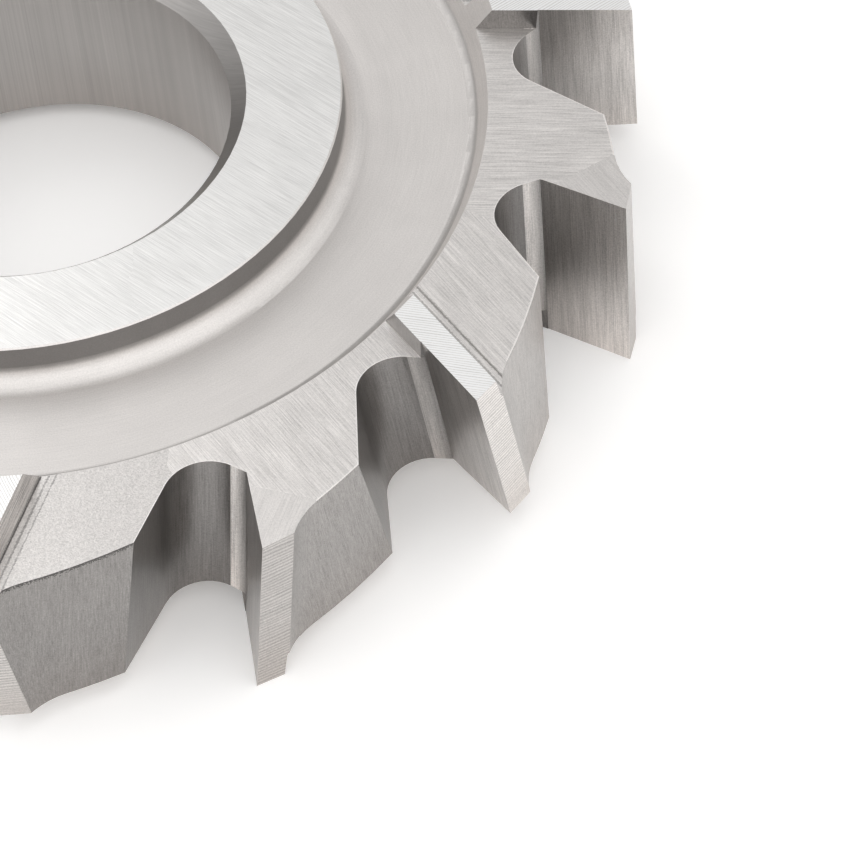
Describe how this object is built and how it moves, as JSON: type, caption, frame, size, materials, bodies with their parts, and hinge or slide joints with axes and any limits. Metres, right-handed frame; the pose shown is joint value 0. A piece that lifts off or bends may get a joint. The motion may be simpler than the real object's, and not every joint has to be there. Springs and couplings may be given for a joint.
{
  "type": "side and face cutter",
  "caption": "Disc milling cutter with staggered teeth that cut on the rim and on alternate sides, a flat hub and a keyed bore.",
  "frame": {"origin": "on the bore's axis, level with the lower hub face and the lower side lands that the cutter lies on", "axes": "+Z along the bore's axis, up; +X through the middle of a tooth that cuts on the lower side; the keyway is on -X"},
  "size_m": [0.08, 0.0788, 0.014],
  "materials": {
    "ground_steel": "ground"
  },
  "bodies": {
    "root": {"cutter_body": "ground_steel"}
  },
  "joints": []
}
